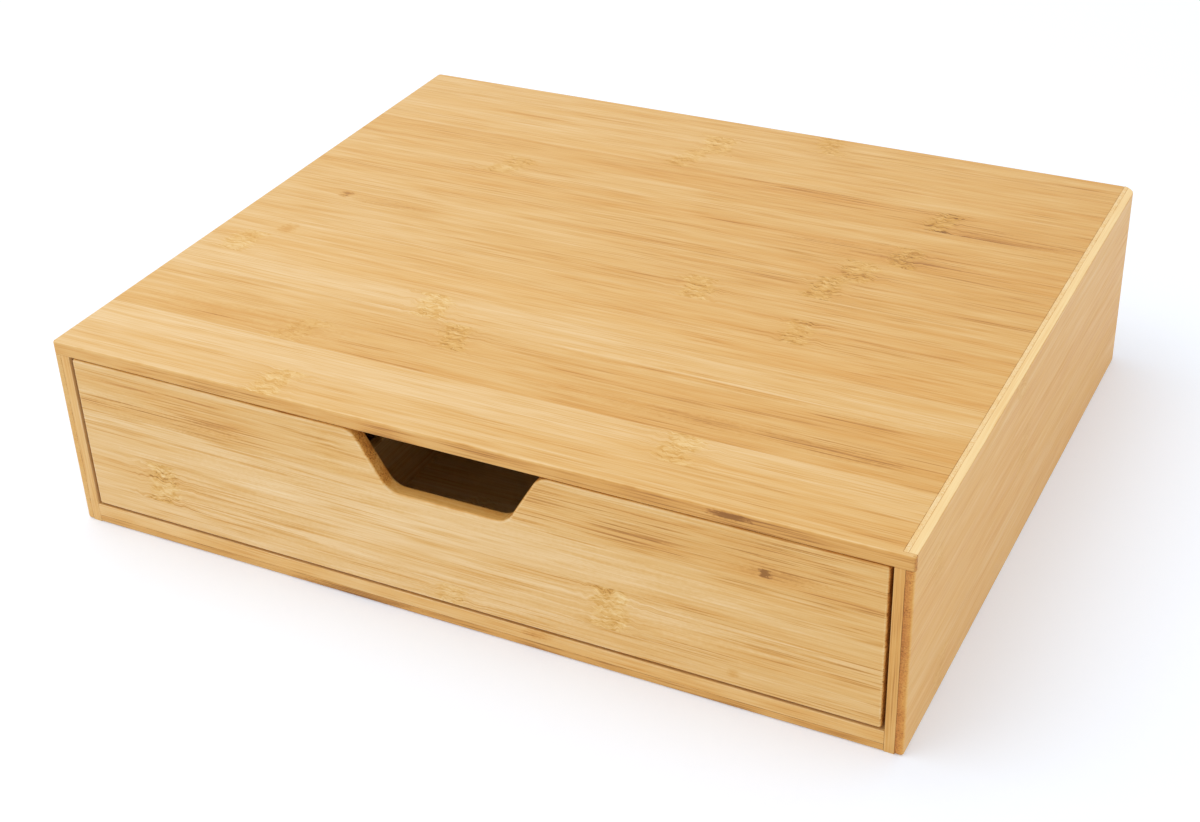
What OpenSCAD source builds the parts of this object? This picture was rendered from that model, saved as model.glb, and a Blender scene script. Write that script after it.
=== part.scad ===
// Under desk drawer: a low bamboo case with one full-width drawer.
// Origin: centre of the underside. Front of the case faces -Y, right is +X, up is +Z.

/* [Case] */
// Overall width of the case
case_w = 400; // [360:5:460]
// Overall depth of the case
case_d = 338; // [300:2:380]
// Overall height of the case
case_h = 95.5; // [90:0.5:120]
// Radius of the right back vertical edge
back_right_r = 7.5; // [3:0.5:7.5]
// Radius of the left back vertical edge
back_left_r = 2; // [1:0.5:7.5]
// Radius of both front vertical edges
front_r = 1.5; // [0.5:0.5:2]

/* [Boards] */
// Thickness of the top board
top_t = 6.5; // [6:0.5:8]
// Thickness of the outer ply of a side panel
side_outer_t = 3.6; // [3.2:0.2:4]
// Thickness of the inner ply of a side panel
side_inner_t = 4.4; // [4.2:0.2:5]
// Thickness of the lower ply of the bottom panel
bottom_lower_t = 3.8; // [3:0.2:4.2]
// Thickness of the upper ply of the bottom panel
bottom_upper_t = 6.2; // [6:0.2:7]
// Thickness of the back panel
back_t = 8; // [7:0.5:10]
// How far the top board laps onto the right side panel
right_lap = 2.4; // [2:0.2:3]
// Depth of the front edge that the top board keeps over the right side panel
nose_d = 2; // [1.6:0.2:3]

/* [Drawer] */
// Thickness of the drawer front
front_t = 8; // [7:0.5:10]
// Thickness of the drawer sides and back
wall_t = 8; // [7:0.5:9]
// Gap between the drawer front and the case at each side
side_gap = 1.5; // [0.8:0.1:2]
// Gap above the drawer front
top_gap = 0.8; // [0.5:0.1:1.5]
// Gap below the drawer front
bottom_gap = 1; // [0.6:0.1:1.5]
// Gap between the drawer sides and the bottom panel they run on
run_gap = 0.4; // [0.3:0.1:0.5]
// How far the drawer sides and back stop below the top edge of the drawer front
wall_drop = 8; // [4:1:16]
// Gap between the shut drawer and the back panel
rear_gap = 1.5; // [0.5:0.5:4]
// Thickness of the drawer bottom
floor_t = 4; // [3:0.5:5]
// Height of the underside of the drawer bottom above the lower edge of the sides
floor_lift = 4; // [3.5:0.5:6]
// Depth of the grooves that hold the drawer bottom
groove_d = 4; // [3:0.5:4.5]
// Thickness of the two dividers
divider_t = 5; // [4:0.5:6]
// Distance of each divider from the middle of the drawer
divider_x = 63; // [50:1:90]
// Height of the dividers above the drawer bottom
divider_h = 34; // [25:1:45]

/* [Finger notch] */
// Width of the notch between the straight flanks at the top edge
notch_top_w = 88; // [78:1:110]
// Width of the notch between the straight flanks at the bottom
notch_bottom_w = 56; // [50:1:72]
// Depth of the notch below the top edge of the drawer front
notch_d = 26.5; // [22:0.5:30]
// Radius of the rounded corners of the notch
notch_r = 9; // [6:0.5:9]

/* [Dowels] */
// Diameter of the dowels that run through board ends
dowel_d = 4; // [3:0.2:4.4]
// Diameter of the dowels below the top board
top_dowel_d = 3; // [2.4:0.2:3.2]
// Length of each dowel in the end grain
dowel_deep = 14; // [10:1:16]
// Length of each dowel in the face of the board it meets
dowel_shallow = 4; // [3:0.2:4]

/* [Hidden] */
$fn = 96;
eps = 0.01;                                   // overlap that joins two boxes of one board
past = 2;                                     // how far a cutting shape runs past a face
fit = 0.1;                                    // clearance of a panel in its groove, each way
wall_inset = 0.5;                             // step from the end of the front to a drawer side
side_t = side_outer_t + side_inner_t;
bottom_t = bottom_lower_t + bottom_upper_t;
seam_z = case_h - top_t;                      // underside of the top board
inner_x = case_w / 2 - side_t;                // inner face of a side panel
ply_x = case_w / 2 - side_outer_t;            // joint between the plies of a side panel
lap_x = inner_x + right_lap;                  // right end of the top board behind its nose
front_y = -case_d / 2;
back_y = case_d / 2;
back_in_y = back_y - back_t;                  // inner face of the back panel

face_x = inner_x - side_gap;                  // end of the drawer front
face_z0 = bottom_t + bottom_gap;
face_z1 = seam_z - top_gap;
face_in_y = front_y + front_t;                // back of the drawer front
wall_x = face_x - wall_inset;                 // outer face of a drawer side
wall_in_x = wall_x - wall_t;
wall_z0 = bottom_t + run_gap;
wall_z1 = face_z1 - wall_drop;
rear_y = back_in_y - rear_gap;                // back of the drawer
rear_in_y = rear_y - wall_t;
floor_z0 = wall_z0 + floor_lift;
floor_z1 = floor_z0 + floor_t;
dado_d = 2;                                   // depth of the dadoes that hold the dividers
hole_end = 0.3;                               // free space past the end of each dowel
dowel_len = dowel_deep + dowel_shallow;

panel_dowel_y = [-130, -44, 44, 130];         // dowels along the side panels
back_dowel_z = [30, 70];                      // dowels at each end of the back panel
back_dowel_x = [-135, -45, 45, 135];          // dowels along the top of the back panel
box_dowel_z = [33, 66];                       // dowels at each corner of the drawer

bottom_dowel_z = bottom_lower_t + bottom_upper_t / 2;
top_dowel_x = -(inner_x + side_inner_t / 2);
back_mid_y = back_in_y + back_t / 2;
rear_mid_y = rear_in_y + wall_t / 2;
box_dowel_x = wall_x - wall_t / 2;

top_color = [0.88, 0.72, 0.47];
outer_ply_color = [0.75, 0.54, 0.29];
inner_ply_color = [0.86, 0.68, 0.42];
bottom_color = [0.86, 0.68, 0.41];
face_color = [0.86, 0.70, 0.46];
inside_color = [0.84, 0.68, 0.44];
dowel_color = [0.78, 0.62, 0.38];

// A box given by its two opposite corners.
module span(low, high) {
    translate(low) cube(high - low);
}

// Outline of the case seen from above, with its rounded vertical edges.
module case_outline() {
    corners = [[-1, -1, front_r], [1, -1, front_r], [1, 1, back_right_r], [-1, 1, back_left_r]];
    difference() {
        square([case_w, case_d], center = true);
        for (c = corners)
            translate([c[0] * case_w / 2, c[1] * case_d / 2])
                square(2 * c[2], center = true);
    }
    for (c = corners)
        translate([c[0] * (case_w / 2 - c[2]), c[1] * (case_d / 2 - c[2])])
            circle(c[2]);
}

// Keeps only what lies inside the outline of the case.
module trimmed() {
    intersection() {
        children();
        translate([0, 0, -past]) linear_extrude(case_h + 2 * past) case_outline();
    }
}

// A pin of diameter d from a to b, both on a line along the given axis.
module pin(axis, from, len, d) {
    turn = axis == "x" ? [0, 90, 0] : axis == "y" ? [-90, 0, 0] : [0, 0, 0];
    translate(from) rotate(turn) cylinder(d = d, h = len);
}

// Dowels between the left side panel or the back panel and the top board; extra lengthens them.
module top_dowel_set(extra = 0) {
    z0 = seam_z - dowel_deep - extra;
    len = dowel_len + 2 * extra;
    for (y = panel_dowel_y) pin("z", [top_dowel_x, y, z0], len, top_dowel_d);
    for (x = back_dowel_x) pin("z", [x, back_mid_y, z0], len, top_dowel_d);
}

// Dowels between the ends of the bottom panel and the side panels.
module bottom_dowel_set(extra = 0) {
    for (y = panel_dowel_y) side_dowel_pair(y, bottom_dowel_z, extra);
}

// Dowels between the ends of the back panel and the side panels.
module back_dowel_set(extra = 0) {
    for (z = back_dowel_z) side_dowel_pair(back_mid_y, z, extra);
}

// One dowel at each side, from a board end into the inner ply of the side panel.
module side_dowel_pair(y, z, extra) {
    len = dowel_len + 2 * extra;
    pin("x", [inner_x - dowel_deep - extra, y, z], len, dowel_d);
    pin("x", [-inner_x - dowel_shallow - extra, y, z], len, dowel_d);
}

// Dowels between the drawer front and the drawer sides.
module drawer_front_dowel_set(extra = 0) {
    for (x = [-box_dowel_x, box_dowel_x], z = box_dowel_z)
        pin("y", [x, face_in_y - dowel_shallow - extra, z], dowel_len + 2 * extra, dowel_d);
}

// Dowels between the drawer sides and the drawer back.
module drawer_back_dowel_set(extra = 0) {
    len = dowel_len + 2 * extra;
    for (z = box_dowel_z) {
        pin("x", [wall_in_x - dowel_deep - extra, rear_mid_y, z], len, dowel_d);
        pin("x", [-wall_in_x - dowel_shallow - extra, rear_mid_y, z], len, dowel_d);
    }
}

// Opening cut into the top edge of the drawer front, drawn in the XZ plane.
module notch_outline() {
    run = (notch_top_w - notch_bottom_w) / 2;
    lean = atan2(run, notch_d);               // angle of a flank from the vertical
    cut = notch_r * tan((90 - lean) / 2);     // tangent length at a corner
    x0 = notch_bottom_w / 2;
    x1 = notch_top_w / 2;
    z0 = face_z1 - notch_d;
    along = [sin(lean), cos(lean)] * cut;
    polygon([[-x0 + cut, z0], [x0 - cut, z0], [x0 + along[0], z0 + along[1]],
             [x1, face_z1], [x1, face_z1 + past], [-x1, face_z1 + past], [-x1, face_z1],
             [-x0 - along[0], z0 + along[1]]]);
    for (s = [-1, 1]) {
        translate([s * (x0 - cut), z0 + notch_r]) circle(notch_r);
        difference() {
            polygon([[s * (x1 - along[0]), face_z1 - along[1]], [0, face_z1 - along[1]],
                     [0, face_z1 + past], [s * (x1 + cut), face_z1 + past],
                     [s * (x1 + cut), face_z1]]);
            translate([s * (x1 + cut), face_z1 - notch_r]) circle(notch_r);
        }
    }
}

// Space of the drawer bottom in its grooves; extra widens it to the grooves.
module floor_board(extra = 0) {
    reach = groove_d - fit + extra;
    span([-wall_in_x - reach, face_in_y - reach, floor_z0 + fit - extra],
         [wall_in_x + reach, rear_in_y + reach, floor_z1 - fit + extra]);
}

// Space of a divider, centred on x; extra lengthens it into the dadoes.
module divider_board(x) {
    span([x - divider_t / 2, face_in_y - dado_d, floor_z1],
         [x + divider_t / 2, rear_in_y + dado_d, floor_z1 + divider_h]);
}

module top_board() {
    color(top_color) difference() {
        trimmed() {
            span([-case_w / 2, front_y, seam_z], [lap_x, back_y, case_h]);
            span([lap_x - eps, front_y, seam_z], [case_w / 2, front_y + nose_d, case_h]);
        }
        top_dowel_set(hole_end);
    }
}

module left_outer_ply() {
    color(outer_ply_color) trimmed()
        span([-case_w / 2, front_y, 0], [-ply_x, back_y, seam_z]);
}

module left_inner_ply() {
    color(inner_ply_color) difference() {
        trimmed() span([-ply_x, front_y, 0], [-inner_x, back_y, seam_z]);
        side_panel_holes();
        top_dowel_set(hole_end);
    }
}

module right_outer_ply() {
    color(outer_ply_color) trimmed() {
        span([ply_x, front_y, 0], [case_w / 2, back_y, seam_z]);
        span([ply_x, front_y + nose_d, seam_z - eps], [case_w / 2, back_y, case_h]);
    }
}

module right_inner_ply() {
    color(inner_ply_color) difference() {
        trimmed() {
            span([inner_x, front_y, 0], [ply_x, back_y, seam_z]);
            span([lap_x, front_y + nose_d, seam_z - eps], [ply_x, back_y, case_h]);
        }
        side_panel_holes();
    }
}

// Blind holes in both side panels for the bottom and back dowels.
module side_panel_holes() {
    bottom_dowel_set(hole_end);
    back_dowel_set(hole_end);
}

module bottom_upper_ply() {
    color(bottom_color) difference() {
        span([-inner_x, front_y, bottom_lower_t], [inner_x, back_y, bottom_t]);
        bottom_dowel_set(hole_end);
    }
}

module bottom_lower_ply() {
    color(outer_ply_color)
        span([-inner_x, front_y, 0], [inner_x, back_y, bottom_lower_t]);
}

module back_panel() {
    color(inside_color) difference() {
        span([-inner_x, back_in_y, bottom_t], [inner_x, back_y, seam_z]);
        back_dowel_set(hole_end);
        top_dowel_set(hole_end);
    }
}

module top_dowels() {
    color(dowel_color) top_dowel_set();
}

module bottom_dowels() {
    color(dowel_color) bottom_dowel_set();
}

module back_dowels() {
    color(dowel_color) back_dowel_set();
}

module drawer_front() {
    color(face_color) difference() {
        span([-face_x, front_y, face_z0], [face_x, face_in_y, face_z1]);
        translate([0, face_in_y + past, 0]) rotate([90, 0, 0])
            linear_extrude(front_t + 2 * past) notch_outline();
        floor_board(fit);
        divider_board(-divider_x);
        divider_board(divider_x);
        drawer_front_dowel_set(hole_end);
    }
}

// One drawer side, on the left for s = -1 and on the right for s = 1.
module drawer_side(s) {
    low = min(s * wall_in_x, s * wall_x);
    color(inside_color) difference() {
        span([low, face_in_y, wall_z0], [low + wall_t, rear_y, wall_z1]);
        floor_board(fit);
        drawer_front_dowel_set(hole_end);
        drawer_back_dowel_set(hole_end);
    }
}

module drawer_left_side() {
    drawer_side(-1);
}

module drawer_right_side() {
    drawer_side(1);
}

module drawer_back() {
    color(inside_color) difference() {
        span([-wall_in_x, rear_in_y, wall_z0], [wall_in_x, rear_y, wall_z1]);
        floor_board(fit);
        divider_board(-divider_x);
        divider_board(divider_x);
        drawer_back_dowel_set(hole_end);
    }
}

module drawer_bottom() {
    color(inside_color) floor_board();
}

module drawer_left_divider() {
    color(inside_color) divider_board(-divider_x);
}

module drawer_right_divider() {
    color(inside_color) divider_board(divider_x);
}

module drawer_front_dowels() {
    color(dowel_color) drawer_front_dowel_set();
}

module drawer_back_dowels() {
    color(dowel_color) drawer_back_dowel_set();
}

top_board();
left_outer_ply();
left_inner_ply();
right_outer_ply();
right_inner_ply();
bottom_upper_ply();
bottom_lower_ply();
back_panel();
top_dowels();
bottom_dowels();
back_dowels();
drawer_front();
drawer_left_side();
drawer_right_side();
drawer_back();
drawer_bottom();
drawer_left_divider();
drawer_right_divider();
drawer_front_dowels();
drawer_back_dowels();
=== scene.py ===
"""Looks of the under desk drawer: its packed boards with eased arrises, in laminated bamboo.

Everything is in metres in the part's own frame: the front faces -Y, right is +X, up is +Z.
"""
import math
import random

import bmesh
import bpy
from mathutils import Matrix, Vector


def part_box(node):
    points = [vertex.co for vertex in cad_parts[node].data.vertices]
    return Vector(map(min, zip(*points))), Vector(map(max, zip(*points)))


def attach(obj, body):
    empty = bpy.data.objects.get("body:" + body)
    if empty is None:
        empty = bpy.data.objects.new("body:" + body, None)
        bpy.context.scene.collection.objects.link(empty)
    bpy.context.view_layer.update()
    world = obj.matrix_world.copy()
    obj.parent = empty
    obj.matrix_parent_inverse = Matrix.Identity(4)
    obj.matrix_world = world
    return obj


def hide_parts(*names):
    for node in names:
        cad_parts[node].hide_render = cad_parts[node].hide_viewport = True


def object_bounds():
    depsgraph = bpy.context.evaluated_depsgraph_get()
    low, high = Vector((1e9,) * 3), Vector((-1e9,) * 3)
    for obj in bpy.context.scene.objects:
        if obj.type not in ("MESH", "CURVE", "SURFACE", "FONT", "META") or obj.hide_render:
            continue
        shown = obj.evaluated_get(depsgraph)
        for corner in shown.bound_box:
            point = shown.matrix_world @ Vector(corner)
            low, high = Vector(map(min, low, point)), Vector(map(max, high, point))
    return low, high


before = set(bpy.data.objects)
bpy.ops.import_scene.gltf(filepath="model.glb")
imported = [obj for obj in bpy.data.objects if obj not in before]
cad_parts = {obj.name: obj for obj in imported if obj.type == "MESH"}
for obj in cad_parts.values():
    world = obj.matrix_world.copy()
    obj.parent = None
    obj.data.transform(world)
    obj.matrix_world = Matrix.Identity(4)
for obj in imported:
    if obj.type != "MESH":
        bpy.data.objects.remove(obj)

MM = 0.001
cad_low, cad_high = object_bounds()

# Boards
WELD = 0.001 * MM                   # vertices closer than this are one
FLAT_ANGLE = math.radians(0.5)      # faces that turn less than this are one face
ARRIS_ANGLE = math.radians(30)      # edges that turn more than this are arrises
CREASE_ANGLE = math.radians(50)     # edges that turn more than this stay crisp in the shading
ON_PLANE = 0.02 * MM                # how close to a plane an edge lies on it
ARRIS_SEGMENTS = 3
JOINT = 0.12                        # arris in mm where two boards are glued together
NOTCH_REACH = 0.3                   # share of the drawer front's half width that holds the notch

# Bamboo
STRIP = 21.125                      # width in mm of the strips that a board is glued up from
BROAD, MIDDLE, FINE = 0.36, 0.20, 0.60          # how much each width of streak shifts the tone
ROUGHNESS = 0.46
GRAIN_DEPTH = 0.12 * MM             # height of the relief that the bump gives
BUMP_STRENGTH = 0.7
SPECULAR = 0.4
NEUTRAL = [(0.0, "F3D8AA"), (0.3, "E8C38A"), (0.5, "E0B46F"), (0.7, "D6A154"), (0.85, "BE8840"),
           (1.0, "966322")]
WARM = [(0.0, "F6D9A0"), (0.3, "EBC07B"), (0.5, "E3AF60"), (0.7, "D89844"), (0.85, "C17B32"),
        (1.0, "94591A")]
GOLDEN = [(0.0, "F7DC9C"), (0.3, "EBC680"), (0.5, "E1B262"), (0.7, "CE9A46"), (0.85, "B07C30"),
          (1.0, "7C5420")]           # the palette of the knots
KNOT_COLOUR = 0.55                  # how far a knot takes its colour from the palette GOLDEN
# The pale strokes of a knot are partly its own pale marks and partly a painted highlight where light
# catches their raised relief.
KNOT_DARK, KNOT_PALE = 0.16, 0.14   # change of tone on a knot's strokes
JOINT_TONE = 0.35                   # glued joints are darker
SEAM_TONE = 0.08                    # the lines between strips are a little darker
SEAM_START, SEAM_END = 0.4925, 0.4975           # where a line is, in strip widths from the middle

# Colour sockets of a mix node, by number because its sockets of other types share their names
MIX_FIRST, MIX_SECOND, MIX_RESULT = 6, 7, 2


def linear(code):
    """Linear RGBA of a six digit sRGB colour code."""
    parts = [int(code[i:i + 2], 16) / 255 for i in (0, 2, 4)]
    return [p / 12.92 if p <= 0.04045 else ((p + 0.055) / 1.055) ** 2.4 for p in parts] + [1.0]


class Field:
    """A number that varies over a surface: a shader socket that takes part in arithmetic."""

    def __init__(self, graph, socket):
        self.graph, self.socket = graph, socket

    def __add__(self, other):
        return self.graph.math("ADD", self, other)

    def __sub__(self, other):
        return self.graph.math("SUBTRACT", self, other)

    def __rsub__(self, other):
        return self.graph.math("SUBTRACT", other, self)

    def __mul__(self, other):
        return self.graph.math("MULTIPLY", self, other)

    def __truediv__(self, other):
        return self.graph.math("DIVIDE", self, other)

    __radd__, __rmul__ = __add__, __mul__


class Graph:
    """Short calls for the nodes of one material. Each call adds a node and returns its result."""

    def __init__(self, name):
        self.material = bpy.data.materials.new(name)
        self.material.use_nodes = True
        self.tree = self.material.node_tree
        self.shader = self.tree.nodes["Principled BSDF"]

    def connect(self, value, socket):
        if isinstance(value, Field):
            value = value.socket
        if isinstance(value, bpy.types.NodeSocket):
            self.tree.links.new(value, socket)
        else:
            socket.default_value = value

    def node(self, kind, inputs=(), **settings):
        made = self.tree.nodes.new(kind)
        for name, value in settings.items():
            setattr(made, name, value)
        for name, value in dict(inputs).items():
            self.connect(value, made.inputs[name])
        return made

    def math(self, operation, *values):
        made = self.node("ShaderNodeMath", enumerate(values), operation=operation)
        return Field(self, made.outputs[0])

    def vector(self, x, y, z):
        return self.node("ShaderNodeCombineXYZ", {"X": x, "Y": y, "Z": z}).outputs[0]

    def split(self, vector):
        made = self.node("ShaderNodeSeparateXYZ", {"Vector": vector})
        return [Field(self, made.outputs[i]) for i in range(3)]

    def noise(self, vector, detail=2.0, roughness=0.5, distortion=0.0):
        inputs = {"Vector": vector, "Scale": 1.0, "Detail": detail,
                  "Roughness": roughness, "Distortion": distortion}
        return Field(self, self.node("ShaderNodeTexNoise", inputs).outputs["Fac"])

    def chance(self, value, salt):
        """A random number from 0 to 1 for each whole value."""
        made = self.node("ShaderNodeTexWhiteNoise", {"W": value + salt}, noise_dimensions="1D")
        return Field(self, made.outputs["Value"])

    def blend(self, value, start, end):
        """0 at start and 1 at end, with a smooth rise in between."""
        made = self.node("ShaderNodeMapRange",
                         {"Value": value, "From Min": start, "From Max": end},
                         interpolation_type="SMOOTHSTEP")
        return Field(self, made.outputs["Result"])

    def ramp(self, value, stops, interpolation="LINEAR"):
        """A colour ramp node for value, from (place, RGBA) stops."""
        made = self.node("ShaderNodeValToRGB", {"Fac": value})
        band = made.color_ramp
        band.interpolation = interpolation
        while len(band.elements) < len(stops):
            band.elements.new(1.0)
        for element, (place, colour) in zip(band.elements, stops):
            element.position, element.color = place, colour
        return made

    def mix(self, factor, first, second):
        made = self.node("ShaderNodeMix", {"Factor": factor}, data_type="RGBA")
        self.connect(first, made.inputs[MIX_FIRST])
        self.connect(second, made.inputs[MIX_SECOND])
        return made.outputs[MIX_RESULT]


class Strips:
    """The strips that a board is glued up from, for each point of its surface."""

    def __init__(self, g, along, over, strips, first, more_knots, length, salt):
        across = (over + first) / STRIP
        count = len(strips)
        row = g.math("MINIMUM", g.math("MAXIMUM", g.math("FLOOR", across), 0.0), count - 1.0)
        made = g.ramp((row + 0.5) / count, [(i / count, s) for i, s in enumerate(strips)], "CONSTANT")
        colour = g.node("ShaderNodeSeparateColor", {"Color": made.outputs["Color"]})
        self.tone, self.warmth, self.knot_at = (Field(g, colour.outputs[i]) for i in range(3))
        self.knot_strength = Field(g, made.outputs["Alpha"])
        self.row, self.own = row, row * 13.7 + salt
        self.offset = across - row - 0.5        # -0.5 to 0.5 across the strip
        self.from_knot = along - self.knot_at * length
        for number, at in more_knots:
            other = along - at * length
            nearer = g.math("LESS_THAN", g.math("ABSOLUTE", other),
                            g.math("ABSOLUTE", self.from_knot))
            swap = nearer * g.math("COMPARE", row, float(number), 0.1)
            self.from_knot = self.from_knot + swap * (other - self.from_knot)


class Knot:
    """A strip's node: a mottled patch right across it, full of short crooked strokes.

    Lengths are in mm. near and patch rise to 1 on the knot, dark and pale on its strokes, and
    swerve is how far the fibres close by bend aside.
    """

    LEAN, WANDER = 14.0, 14.0           # how far the middle line of a knot may slant and curve
    HALF, HALF_MORE = 6.0, 2.5          # smallest half length, and what chance may add to it
    BEND = 7.0

    def __init__(self, g, along, over, depth, strips, strength):
        own = strips.own
        lean = (g.chance(strips.row, 0.3) - 0.5) * strips.offset * self.LEAN
        wander = (g.noise(g.vector(over / 7.0, own, 3.1)) - 0.5) * self.WANDER
        reach = g.math("ABSOLUTE", strips.from_knot + lean + wander)
        half = self.HALF + self.HALF_MORE * g.chance(strips.row, 7.9)
        ragged = g.noise(g.vector(along / 4.0, over / 1.6, depth / 1.6 + own), 2.0) - 0.5
        strength = strips.knot_strength * strength
        self.near = g.blend(reach, half * 3.0, half) * strength
        self.patch = g.blend(reach + ragged * 11.0, half + 1.5, half - 2.5) * strength
        bend = (g.noise(g.vector(along / 3.5, over / 6.0, own + 2.0)) - 0.5) * self.BEND
        curls = g.noise(g.vector(along / 6.0, (over + bend) / 1.5, depth / 1.5 + own), 1.0, 0.5, 0.8)
        self.dark = g.blend(curls, 0.52, 0.64) * self.patch
        # pale is 1 on the knot's paler strokes, partly its own marks and partly a painted highlight on
        # their relief.
        self.pale = g.blend(curls, 0.50, 0.38) * self.patch
        self.swerve = self.near * (g.noise(g.vector(along / 7.0, over / 9.0, own)) - 0.5) * self.BEND


class Fibres:
    """Long streaks of several widths, and fine dark threads that lie close together in places."""

    def __init__(self, g, along, line, depth, own):
        def streaks(run, width, detail, roughness=0.5, turn=1.0):
            """Noise in streaks about run mm long and width mm wide."""
            where = g.vector(along / run, line / width, depth / width + own * turn)
            return g.noise(where, detail, roughness)

        self.broad = streaks(run=120.0, width=6.0, detail=2.0) - 0.5
        self.middle = streaks(run=50.0, width=1.9, detail=3.0, roughness=0.6) - 0.5
        self.fine = streaks(run=32.0, width=0.75, detail=2.0, roughness=0.6) - 0.5
        self.crowd = g.blend(g.noise(g.vector(along / 60.0, line / 9.0, own - 3.0)), 0.36, 0.60)
        threads = streaks(run=50.0, width=0.75, detail=1.0, turn=-1.0)
        self.threads = g.blend(threads, 0.50, 0.62) * self.crowd


def patched(g, tone, patches, along, over, depth, fibre, salt):
    """The tone after each of a board's patches has changed it, out to a ragged border."""
    ragged = g.noise(g.vector(along / 2.2, over / 1.2, depth / 1.2 + salt), 2.0) - 0.5
    for at, off, half_length, half_width, amount, *layer in patches:
        x = (along - at) / half_length
        y = (over - off) / half_width
        reach = x * x + y * y
        if layer:
            middle_depth, half_depth = layer
            z = (depth - middle_depth) / half_depth
            reach = reach + z * z
        away = g.math("SQRT", reach) + 2.2 * fibre.middle + 1.6 * ragged
        tone = tone + amount * g.blend(away, 1.2, 0.3)
    return tone


def pore_cells(g, along, over, depth):
    """1 in the pores of the wood, which are narrow cells drawn out along the fibres."""
    wide, thick, long = 0.9, 0.6, 40.0
    cells = g.node("ShaderNodeTexVoronoi", {
        "Vector": g.vector(over / wide, depth / thick, along / long), "Scale": 1.0})
    return g.blend(Field(g, cells.outputs["Distance"]), 0.42, 0.2)


def bamboo(name, node, grain, across, strips, first=0.0, more_knots=(), patches=(), contrast=1.0,
           threads=0.18, knots=1.0, drift=0.0, end_tone=0.3, end_warmth=0.5, edge_tone=0.0,
           edge_warmth=0.2, side_tone=0.0, arris_tone=-0.12, pores=0.16, salt=0.0):
    """Laminated bamboo for one board.

    grain and across are the axes (0, 1, 2) that the fibres run along and that the strips lie
    side by side on. strips holds (tone, warmth, knot, strength) of each strip: tone 0 is pale
    and 1 dark, knot is the place of its node as a share of the board's length. more_knots holds
    (strip, place) of second nodes. first is the part of the first strip in mm that was sawn
    off. patches holds (along, across, half length, half width, tone) of darker or paler
    places, in mm from the board's lower corner; two more numbers give the depth and half
    depth of one that does not go through the board. drift is the rise in tone from one end to
    the other; on the top board and the drawer front it is partly the wood's own change and
    partly painted shade where the light falls off towards one end. end_tone, edge_tone,
    side_tone and arris_tone are the change of tone on the end grain, on the sawn long edges,
    through the thickness of the end grain, and on the arrises; rounded arrises made paler are
    partly wear and partly a painted highlight.
    contrast scales the streaks, threads the dark threads, knots all the knots, and pores the
    pores of the end grain. salt gives each board a pattern of its own.
    """
    low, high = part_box(node)
    g = Graph(name)
    place = g.node("ShaderNodeTexCoord")
    spot = g.split(place.outputs["Object"])
    normal = [g.math("ABSOLUTE", part) for part in g.split(place.outputs["Normal"])]
    through = 3 - grain - across
    along, over, depth = ((spot[axis] - low[axis]) / MM for axis in (grain, across, through))
    length, thickness = ((high[axis] - low[axis]) / MM for axis in (grain, through))

    end = g.blend(normal[grain], 0.45, 0.9)         # 1 on the end grain
    edge = g.blend(normal[across], 0.6, 0.85)       # 1 on the sawn long edges
    strip = Strips(g, along, over, strips, first, more_knots, length, salt)
    knot = Knot(g, along, over, depth, strip, knots * (1.0 - edge))
    fibre = Fibres(g, along, over + knot.swerve, depth, strip.own)
    # The tone rises from one end of the board to the other by drift: on the top board and the drawer
    # front this is partly the wood's own change and partly painted shade where the light falls off.
    tone = strip.tone + drift * (along / length - 0.5) + contrast * (
        BROAD * fibre.broad + MIDDLE * fibre.middle + FINE * fibre.fine + threads * fibre.threads)
    tone = patched(g, tone, patches, along, over, depth, fibre, salt)

    seam = g.blend(g.math("ABSOLUTE", strip.offset), SEAM_START, SEAM_END)
    pore = pore_cells(g, along, over, depth) * end
    arris = Field(g, g.node("ShaderNodeAttribute", attribute_name="arris").outputs["Fac"])
    rounded_arris, joint = g.math("MAXIMUM", arris, 0.0), g.math("MAXIMUM", 0.0 - arris, 0.0)
    patchy = g.blend(g.noise(g.vector(along / 9.0, over / 5.0, strip.own)), 0.3, 0.6)
    # Where arris_tone is below 0 the rounded arrises are painted paler, partly as wear and partly as a
    # painted highlight along their rims; where it is above 0 they are made darker.
    tone = (tone + SEAM_TONE * seam * fibre.crowd
            + end * (end_tone + side_tone * (depth / thickness - 0.5))
            + pores * pore + edge_tone * edge
            + patchy * (arris_tone * rounded_arris + JOINT_TONE * joint)
            + 0.03 * knot.near + KNOT_DARK * knot.dark - KNOT_PALE * knot.pale)
    warmth = strip.warmth + 0.9 * fibre.broad + end_warmth * end + edge_warmth * edge
    warmth = g.math("MINIMUM", g.math("MAXIMUM", warmth, 0.0), 1.0)

    neutral, warm, golden = (g.ramp(tone, [(at, linear(code)) for at, code in stops]).outputs["Color"]
                             for stops in (NEUTRAL, WARM, GOLDEN))
    colour = g.mix(KNOT_COLOUR * knot.patch, g.mix(warmth, neutral, warm), golden)
    roughness = ROUGHNESS + 0.35 * fibre.middle + 0.08 * knot.patch + 0.12 * end - 0.06 * rounded_arris
    height = (0.5 * fibre.fine + 0.5 * fibre.middle - 0.35 * fibre.threads - 0.4 * seam
              + 0.7 * knot.pale - 0.7 * knot.dark - 0.5 * pore)
    bump = g.node("ShaderNodeBump",
                  {"Height": height, "Strength": BUMP_STRENGTH, "Distance": GRAIN_DEPTH})
    g.connect(colour, g.shader.inputs["Base Color"])
    g.connect(roughness, g.shader.inputs["Roughness"])
    g.connect(bump.outputs["Normal"], g.shader.inputs["Normal"])
    g.shader.inputs["Specular IOR Level"].default_value = SPECULAR
    return g.material


def random_strips(width, tone, spread, warmth, seed):
    """Strips for a board of that width in mm, each of its own tone, warmth and knot."""
    draw = random.Random(seed)
    count = math.ceil(width / STRIP) + 1
    return [(tone + draw.uniform(-spread, spread), warmth + draw.uniform(-0.1, 0.1), draw.random(),
             draw.uniform(0.5, 1.0)) for _ in range(count)]


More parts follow.
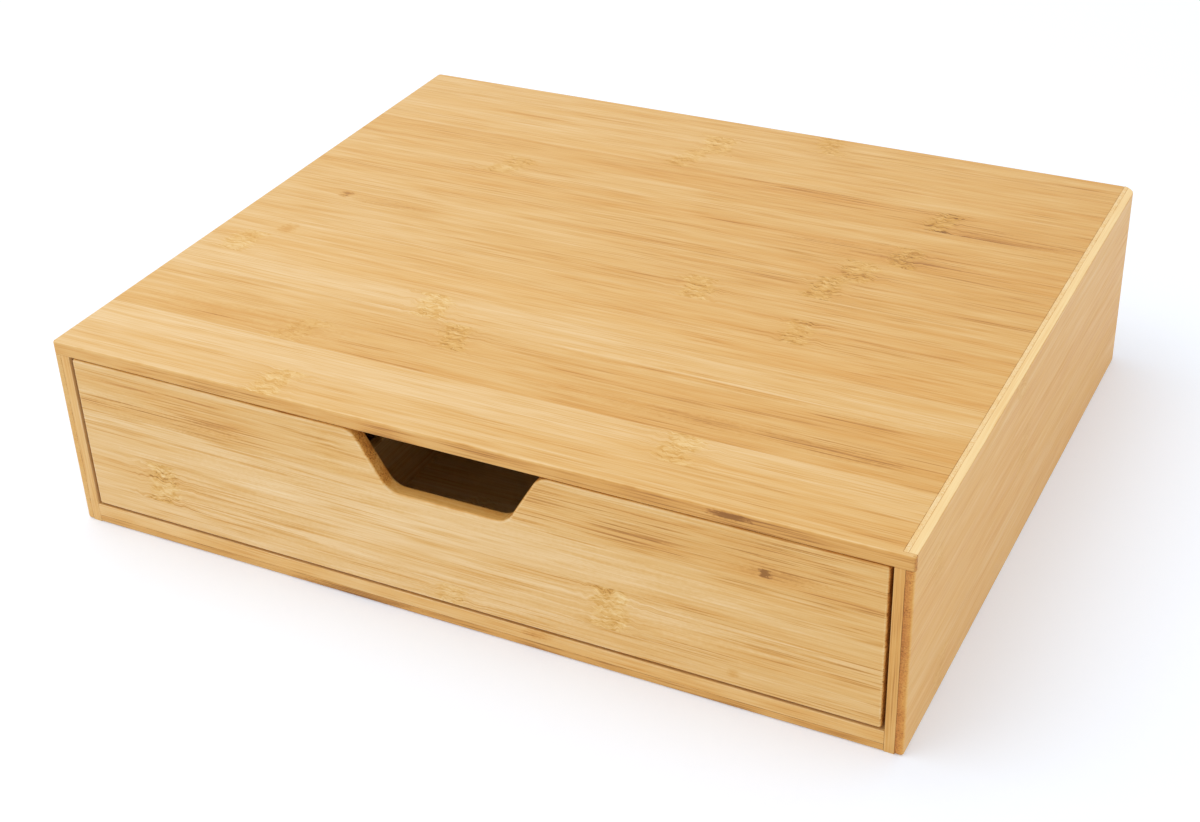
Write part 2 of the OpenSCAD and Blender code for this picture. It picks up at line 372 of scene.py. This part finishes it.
def plane_names(low, high):
    """The planes of a board's arrises by name: its six sides and three planes of the case.

    lap is the right end of the top board behind its front edge, nose is the back of the strip
    of top board that crosses the right side panel, and seam is the underside of the top board.
    """
    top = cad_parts["top_board"].data.vertices
    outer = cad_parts["right_outer_ply"].data.vertices
    rebate = [v.co for v in top if v.co.y > 0]
    nose = [v.co for v in outer if v.co.z > cad_high.z - ON_PLANE]
    return {"left": (0, low.x), "right": (0, high.x), "front": (1, low.y), "back": (1, high.y),
            "under": (2, low.z), "over": (2, high.z), "lap": (0, max(c.x for c in rebate)),
            "nose": (1, min(c.y for c in nose)), "seam": (2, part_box("top_board")[0].z)}


def arris_mark(mesh, polygon):
    """1 on a rounded arris, -1 on the fine one along a glued joint, and 0 elsewhere."""
    if polygon.material_index == 0:
        return 0.0
    corners = [mesh.vertices[i].co for i in polygon.vertices]
    longest = max((a - b).length for a, b in zip(corners, corners[1:] + corners[:1]))
    return 1.0 if polygon.area > longest * JOINT * MM else -1.0


def weighted_copy(node, arrises):
    """A copy of a CAD board's mesh with a bevel weight on its arrises, and the widest radius in mm.

    arrises holds (planes, radius in mm): the first whose planes an edge all lies on counts.
    The word notch among them leaves out every edge away from the middle of the upper half.
    """
    low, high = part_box(node)
    planes = plane_names(low, high)
    shape = bmesh.new()
    shape.from_mesh(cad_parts[node].data)
    bmesh.ops.remove_doubles(shape, verts=shape.verts, dist=WELD)
    bmesh.ops.dissolve_limit(shape, angle_limit=FLAT_ANGLE, verts=shape.verts, edges=shape.edges)
    weight = shape.edges.layers.float.new("bevel_weight_edge")
    widest = max(radius for _, radius in arrises)

    def lies_on(point, name):
        if name == "notch":
            return abs(point.x) < NOTCH_REACH * high.x and point.z > (low.z + high.z) / 2
        axis, level = planes[name]
        return abs(point[axis] - level) < ON_PLANE

    def radius_of(edge):
        middle = (edge.verts[0].co + edge.verts[1].co) / 2
        for names, radius in arrises:
            if all(lies_on(middle, name) for name in names.split()):
                return radius
        return JOINT

    for edge in shape.edges:
        if edge.is_convex and edge.calc_face_angle(0) > ARRIS_ANGLE:
            edge[weight] = radius_of(edge) / widest
    mesh = bpy.data.meshes.new(node + "_cut")
    shape.to_mesh(mesh)
    shape.free()
    return mesh, widest


def rounded_mesh(piece, widest):
    """The mesh that a bevel by weight gives. Its rounded faces have the second material."""
    spare = bpy.data.materials.get("spare") or bpy.data.materials.new("spare")
    for _ in range(2):
        piece.data.materials.append(spare)
    rounding = piece.modifiers.new("rounding", "BEVEL")
    rounding.limit_method = "WEIGHT"
    rounding.width = widest * MM
    rounding.segments = ARRIS_SEGMENTS
    rounding.use_clamp_overlap = False
    rounding.material = 1
    graph = bpy.context.evaluated_depsgraph_get()
    rounded = bpy.data.meshes.new_from_object(piece.evaluated_get(graph))
    piece.modifiers.clear()
    return rounded


def eased(node, arrises):
    """A copy of a CAD board whose arrises are rounded, with the attribute arris on them."""
    cut, widest = weighted_copy(node, arrises)
    piece = bpy.data.objects.new(node + "_wood", cut)
    bpy.context.scene.collection.objects.link(piece)
    rounded = rounded_mesh(piece, widest)
    rounded.name = node + "_wood"
    piece.data = rounded
    bpy.data.meshes.remove(cut)

    mark = rounded.attributes.new("arris", "FLOAT", "FACE")
    mark.data.foreach_set("value", [arris_mark(rounded, p) for p in rounded.polygons])
    rounded.materials.clear()
    for polygon in rounded.polygons:
        polygon.material_index = 0
        polygon.use_smooth = True
    rounded.set_sharp_from_angle(angle=CREASE_ANGLE)
    normals = piece.modifiers.new("normals", "WEIGHTED_NORMAL")
    normals.keep_sharp = True
    return piece


def board(node, body, material, arrises):
    """Makes the finished piece that stands for one CAD board."""
    piece = eased(node, arrises)
    piece.data.materials.append(material)
    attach(piece, body)
    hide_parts(node)


X, Y, Z = range(3)

# Strips of the top board from the front to the back: tone, warmth, place and strength of the knot.
TOP_STRIPS = [
    (0.45, 0.10, 0.28, 0.9), (0.36, 0.05, 0.73, 0.9), (0.54, 0.15, 0.24, 0.6),
    (0.53, 0.15, 0.41, 1.0), (0.39, 0.05, 0.35, 1.0), (0.48, 0.25, 0.05, 0.8),
    (0.50, 0.15, 0.75, 0.8), (0.50, 0.05, 0.61, 1.0), (0.52, 0.05, 0.74, 1.0),
    (0.53, 0.10, 0.76, 0.9), (0.56, 0.20, 0.80, 0.9), (0.50, 0.05, 0.25, 0.8),
    (0.57, 0.20, 0.81, 1.0), (0.48, 0.10, 0.45, 0.8), (0.49, 0.05, 0.47, 0.9),
    (0.49, 0.05, 0.61, 0.8),
]
# Places on the top board that are darker or paler than their strip, as bamboo's patches.
TOP_PATCHES = [
    (320, 54, 70, 5, 0.08), (70, 55, 55, 6, 0.09), (270, 55, 60, 4, 0.06),
    (310, 222, 45, 5, 0.09), (355, 256, 40, 7, 0.08), (39, 180, 4, 3.5, 0.32),
    (62, 178, 22, 3, 0.14), (34, 135, 5, 6, 0.22), (120, 65, 60, 6, 0.05),
    (300, 84, 110, 5, -0.06), (326, 0, 9, 3, 0.26, 4, 1.5),
]
# Strips of the drawer front from the bottom to the top.
FRONT_STRIPS = [
    (0.44, 0.0, 0.493, 0.7), (0.43, 0.0, 0.695, 1.0), (0.43, 0.0, 0.105, 0.0),
    (0.50, 0.15, 0.35, 0.2), (0.46, 0.05, 0.90, 0.0),
]
# Places on the drawer front that are darker or paler than their strip.
FRONT_PATCHES = [
    (332, 60, 2.6, 2.2, 0.32), (338, 60, 20, 2.4, 0.12), (319, 6.5, 3, 2, 0.20),
    (40, 57, 50, 5, 0.09), (90, 54, 60, 4, 0.07), (265, 27, 4, 5, 0.18),
    (185, 30, 130, 34, -0.10), (300, 66, 75, 13, 0.05), (60, 66, 55, 9, 0.05),
]

# The top board's drift leaves its left end paler, partly the wood's own tone and partly painted light on
# that end; the drawer front's drift is partly painted shade where the light falls off towards its right
# end.
top_wood = bamboo("top_bamboo", "top_board", X, Y, TOP_STRIPS, patches=TOP_PATCHES, drift=0.17,
                  edge_tone=0.17, salt=3.0)
front_wood = bamboo("front_bamboo", "drawer_front", X, Z, FRONT_STRIPS, first=10.2, drift=0.10,
                    patches=FRONT_PATCHES, more_knots=[(1, 0.105)],
                    threads=0.27, salt=41.0, end_tone=0.27, end_warmth=0.9, edge_tone=0.16,
                    edge_warmth=1.0)


def plain_wood(node, grain, across, tone, seed, spread=0.07, warmth=0.15, **finish):
    """Bamboo for a board whose strips are in no special order. finish goes on to bamboo."""
    low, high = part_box(node)
    strips = random_strips((high[across] - low[across]) / MM, tone, spread, warmth, seed)
    return bamboo(node + "_bamboo", node, grain, across, strips, salt=seed * 17.0, **finish)


board("top_board", "case", top_wood,
      [("lap", JOINT), ("nose", JOINT), ("over", 0.9), ("under", 0.3)])
board("drawer_front", "drawer", front_wood,
      [("front", 1.1), ("left", 1.2), ("right", 1.2), ("under", 0.3), ("over", 2.4),
       ("notch back", 2.4)])

# Case panels
OUTER_PLY = [("nose", JOINT), ("seam", 0.2), ("over", 0.45), ("under", 1.3), ("front", JOINT)]
# The right outer ply is warmer and has darker ends than the left one, and the right inner ply is darker.
for side, inner_side, seed, outer_look, inner_tone in (
        ("left", "right", 5, {"warmth": 0.2, "end_tone": 0.0, "side_tone": 0.06}, 0.38),
        ("right", "left", 8, {"warmth": 0.95, "end_tone": 0.28, "side_tone": -0.20}, 0.56)):
    outer = side + "_outer_ply"
    board(outer, "case",
          plain_wood(outer, Y, Z, tone=0.51, spread=0.03, seed=seed, contrast=0.6, knots=0.45,
                     end_warmth=0.0, edge_tone=-0.42, edge_warmth=1.0, arris_tone=0.10,
                     pores=0.06, **outer_look),
          [(inner_side, JOINT)] + OUTER_PLY)
    inner = side + "_inner_ply"
    board(inner, "case",
          plain_wood(inner, Z, Y, tone=inner_tone, spread=0.03, seed=seed + 1, knots=0.4,
                     end_tone=-0.42, edge_tone=0.04, pores=0.0),
          [(inner_side + " front", 0.4), ("under", 0.3)])
board("bottom_upper_ply", "case",
      plain_wood("bottom_upper_ply", X, Y, tone=0.42, spread=0.04, seed=21, knots=0.6, drift=0.10,
                 patches=[(232, 0, 8, 3, 0.22, 4, 2)]),
      [("over front", 0.4)])
board("bottom_lower_ply", "case",
      plain_wood("bottom_lower_ply", X, Y, tone=0.52, spread=0.04, seed=22, knots=0.6,
                 edge_tone=0.08, edge_warmth=0.0, arris_tone=0.06,
                 patches=[(146, 0, 34, 4, 0.13)]),
      [("under front", 0.9), ("under back", 0.5)])
board("back_panel", "case",
      plain_wood("back_panel", X, Z, tone=0.44, seed=23),
      [("under", JOINT), ("back", 0.2)])

# Drawer
WALL = [("over", 0.8), ("under", 0.3)]
for node, grain, across, seed in (
        ("drawer_left_side", Y, Z, 31), ("drawer_right_side", Y, Z, 32), ("drawer_back", X, Z, 33),
        ("drawer_left_divider", Y, Z, 34), ("drawer_right_divider", Y, Z, 35)):
    board(node, "drawer",
          plain_wood(node, grain, across, tone=0.40, spread=0.06, seed=seed), WALL)
board("drawer_bottom", "drawer",
      plain_wood("drawer_bottom", X, Y, tone=0.40, spread=0.08, seed=36), [("over", JOINT)])

# Dowels keep their CAD meshes.
for node, grain, across in (("top_dowels", Z, X), ("bottom_dowels", X, Y), ("back_dowels", X, Z),
                            ("drawer_front_dowels", Y, X), ("drawer_back_dowels", X, Z)):
    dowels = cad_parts[node]
    dowels.data.materials.clear()
    dowels.data.materials.append(
        plain_wood(node, grain, across, tone=0.45, spread=0.05, seed=51, knots=0.0))


# Stage, light and camera
def add_floor():
    """A wide pale floor just under the case. Its faint blue glow is painted light, as if from below: it
    pales the shadows on the floor, and with the floor's slight blue tint it cancels the warm light that
    the wood throws on it.
    """
    graph = Graph("floor_paint")
    graph.shader.inputs["Base Color"].default_value = (0.90, 0.92, 0.95, 1.0)
    graph.shader.inputs["Roughness"].default_value = 0.9
    # The blue glow is painted light, not a lamp: it brightens the floor's shadows and offsets the warm
    # bounce from the case.
    graph.shader.inputs["Emission Color"].default_value = (0.5, 0.7, 1.0, 1.0)
    graph.shader.inputs["Emission Strength"].default_value = 0.18
    mesh = bpy.data.meshes.new("floor")
    half = 6.0
    level = cad_low.z - 0.1 * MM
    corners = [(-half, -half, level), (half, -half, level), (half, half, level), (-half, half, level)]
    mesh.from_pydata(corners, [], [(0, 1, 2, 3)])
    mesh.materials.append(graph.material)
    floor = bpy.data.objects.new("floor", mesh)
    bpy.context.scene.collection.objects.link(floor)


def add_light(name, place, aim, size, power):
    """A square white light of that size in metres and power in watts, turned towards aim."""
    data = bpy.data.lights.new(name, "AREA")
    data.size, data.energy = size, power
    light = bpy.data.objects.new(name, data)
    light.location = place
    light.rotation_euler = (Vector(aim) - Vector(place)).to_track_quat("-Z", "Y").to_euler()
    bpy.context.scene.collection.objects.link(light)


def add_sky(strength):
    """Even white light from all round."""
    world = bpy.data.worlds.new("studio")
    world.use_nodes = True
    background = world.node_tree.nodes["Background"]
    background.inputs["Color"].default_value = (1.0, 1.0, 1.0, 1.0)
    background.inputs["Strength"].default_value = strength
    bpy.context.scene.world = world


def add_camera():
    """A view from the front right and above, tipped a little about its own axis.

    The angles are in degrees and the distances in metres. The camera turns about the origin,
    and then moves aside by aim_right and aim_up in its own plane.
    """
    azimuth, elevation, roll = (math.radians(angle) for angle in (27.64, 31.77, -2.16))
    distance, aim_right, aim_up = 0.9495, 0.0139, -0.0104
    back = Vector((math.sin(azimuth) * math.cos(elevation),
                   -math.cos(azimuth) * math.cos(elevation), math.sin(elevation)))
    level = Vector((0, 0, 1)).cross(back).normalized()
    steep = back.cross(level)
    right = level * math.cos(roll) + steep * math.sin(roll)
    up = steep * math.cos(roll) - level * math.sin(roll)
    data = bpy.data.cameras.new("camera")
    data.lens, data.sensor_width = 57.52, 36.0
    camera = bpy.data.objects.new("camera", data)
    camera.matrix_world = Matrix((right, up, back)).transposed().to_4x4()
    camera.location = back * distance - right * aim_right - up * aim_up
    bpy.context.scene.collection.objects.link(camera)
    bpy.context.scene.camera = camera


add_floor()
add_sky(0.84)
add_light("key", place=(-0.8, -0.45, 2.0), aim=(0, 0, 0), size=2.0, power=14.5)
add_camera()
bpy.context.scene.view_settings.view_transform = "Standard"
